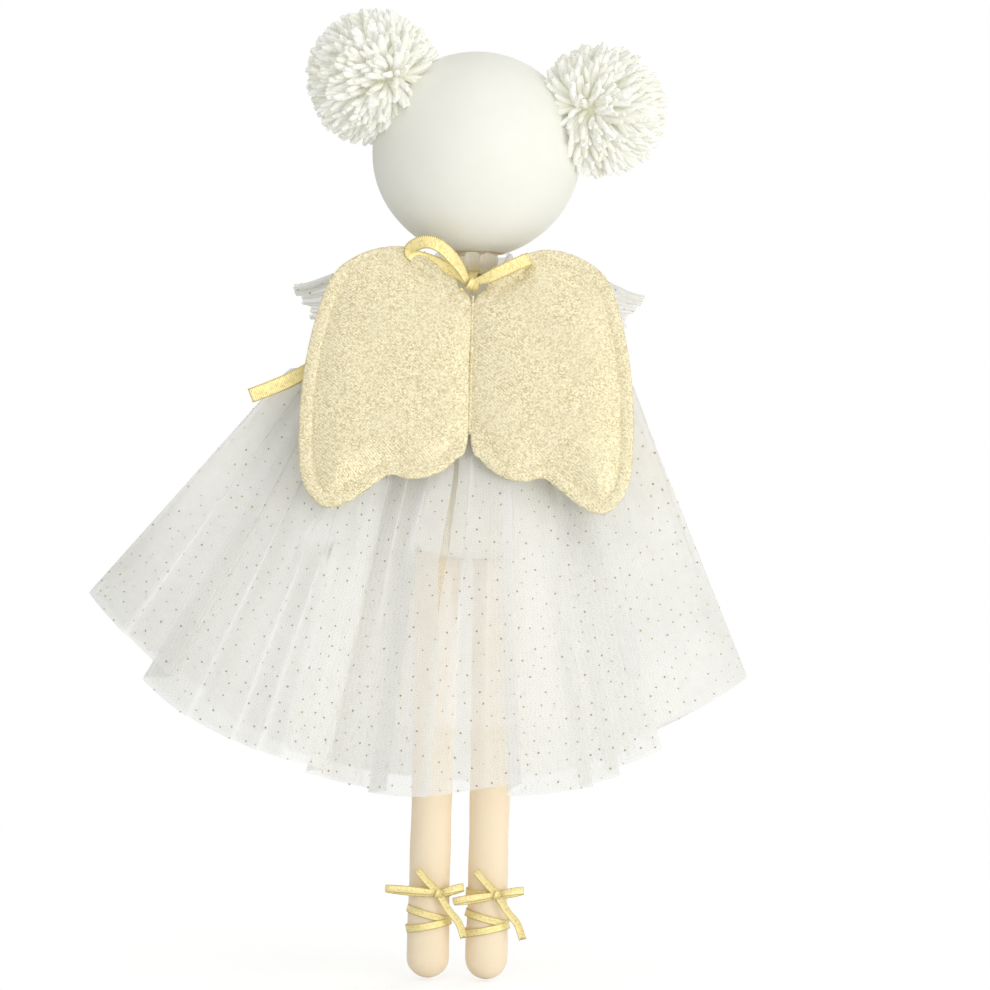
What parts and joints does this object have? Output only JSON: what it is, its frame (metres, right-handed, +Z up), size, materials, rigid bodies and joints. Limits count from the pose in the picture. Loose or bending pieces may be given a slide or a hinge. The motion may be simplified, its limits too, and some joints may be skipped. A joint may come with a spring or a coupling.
{
  "type": "rag doll",
  "caption": "Stuffed cloth fairy doll with yarn pom-poms, padded glitter wings, a gathered tulle dress and ribbon bows; head, arms, legs and wings swing.",
  "frame": {"origin": "on the body's axis at the waist, 270 mm above the soles, where a hand or a doll stand's clip holds it", "axes": "+Z up through the head, +Y the way the doll faces, so the wings are on the -Y side; +X is to the right as seen from behind"},
  "size_m": [0.3282, 0.1751, 0.4786],
  "materials": {
    "ivory_cotton": "matt woven cotton",
    "skin_cotton": "matt woven cotton",
    "filling": "loose polyester fibre",
    "thread": "twisted cotton thread",
    "yarn": "soft thick yarn, cut ends",
    "eye_embroidery": "satin stitch",
    "mouth_embroidery": "stem stitch",
    "tulle": "fine net with glitter dots",
    "lining_cloth": "soft matt cloth",
    "glitter_cloth": "cloth woven with metallic thread, padded and topstitched",
    "gold_ribbon": "woven metallic ribbon"
  },
  "bodies": {
    "torso": {"torso_cover": "skin_cotton", "torso_stuffing": "filling", "hip_thread": "thread", "left_shoulder_thread": "thread", "right_shoulder_thread": "thread", "bodice": "ivory_cotton", "neck_frill": "tulle", "left_shoulder_ruffle": "tulle", "right_shoulder_ruffle": "tulle", "skirt_lining": "lining_cloth", "tulle_skirt": "tulle", "wing_seam": "glitter_cloth", "neck_ribbon": "gold_ribbon", "wing_knot": "gold_ribbon", "wing_bow": "gold_ribbon", "wing_ribbon_tail": "gold_ribbon"},
    "neck": {"neck": "skin_cotton"},
    "head": {"hair_panel": "ivory_cotton", "face_panel": "skin_cotton", "head_stuffing": "filling", "left_eye": "eye_embroidery", "right_eye": "eye_embroidery", "mouth": "mouth_embroidery", "left_pompom": "yarn", "right_pompom": "yarn", "left_pompom_tie": "thread", "right_pompom_tie": "thread"},
    "left_arm": {"left_arm_cover": "skin_cotton", "left_arm_stuffing": "filling"},
    "left_leg": {"left_leg_cover": "skin_cotton", "left_leg_stuffing": "filling", "left_ankle_bands": "gold_ribbon", "left_ankle_knot": "gold_ribbon", "left_ankle_loops": "gold_ribbon", "left_ankle_tails": "gold_ribbon"},
    "left_wing": {"left_wing_cover": "glitter_cloth", "left_wing_wadding": "filling"},
    "right_arm": {"right_arm_cover": "skin_cotton", "right_arm_stuffing": "filling"},
    "right_leg": {"right_leg_cover": "skin_cotton", "right_leg_stuffing": "filling", "right_ankle_bands": "gold_ribbon", "right_ankle_knot": "gold_ribbon", "right_ankle_loops": "gold_ribbon", "right_ankle_tails": "gold_ribbon"},
    "right_wing": {"right_wing_cover": "glitter_cloth", "right_wing_wadding": "filling"}
  },
  "joints": [
    {"name": "neck_turn", "type": "hinge", "parent": "torso", "child": "neck", "pos_m": [0, 0, 0.079], "axis": [0, 0, 1], "range_deg": [-40, 40], "stiffness_Nm_per_rad": 0.12},
    {"name": "head_nod", "type": "hinge", "parent": "neck", "child": "head", "pos_m": [0, 0, 0.096], "axis": [-1, 0, 0], "range_deg": [-8, 15], "stiffness_Nm_per_rad": 0.4},
    {"name": "left_shoulder", "type": "hinge", "parent": "torso", "child": "left_arm", "pos_m": [-0.0454, 0.009, 0.061], "axis": [1, 0, 0], "range_deg": [0, 90]},
    {"name": "right_shoulder", "type": "hinge", "parent": "torso", "child": "right_arm", "pos_m": [0.0454, 0.009, 0.061], "axis": [1, 0, 0], "range_deg": [0, 90]},
    {"name": "left_hip", "type": "hinge", "parent": "torso", "child": "left_leg", "pos_m": [-0.0145, 0, -0.055], "axis": [1, 0, 0], "range_deg": [-26, 26]},
    {"name": "right_hip", "type": "hinge", "parent": "torso", "child": "right_leg", "pos_m": [0.0145, 0, -0.055], "axis": [1, 0, 0], "range_deg": [-26, 26]},
    {"name": "left_wing_flap", "type": "hinge", "parent": "torso", "child": "left_wing", "pos_m": [0, -0.034, 0.068], "axis": [0, 0.1564, 0.9877], "range_deg": [0, 60], "stiffness_Nm_per_rad": 0.01},
    {"name": "right_wing_flap", "type": "hinge", "parent": "torso", "child": "right_wing", "pos_m": [0, -0.034, 0.068], "axis": [0, -0.1564, -0.9877], "range_deg": [0, 60], "stiffness_Nm_per_rad": 0.01}
  ]
}
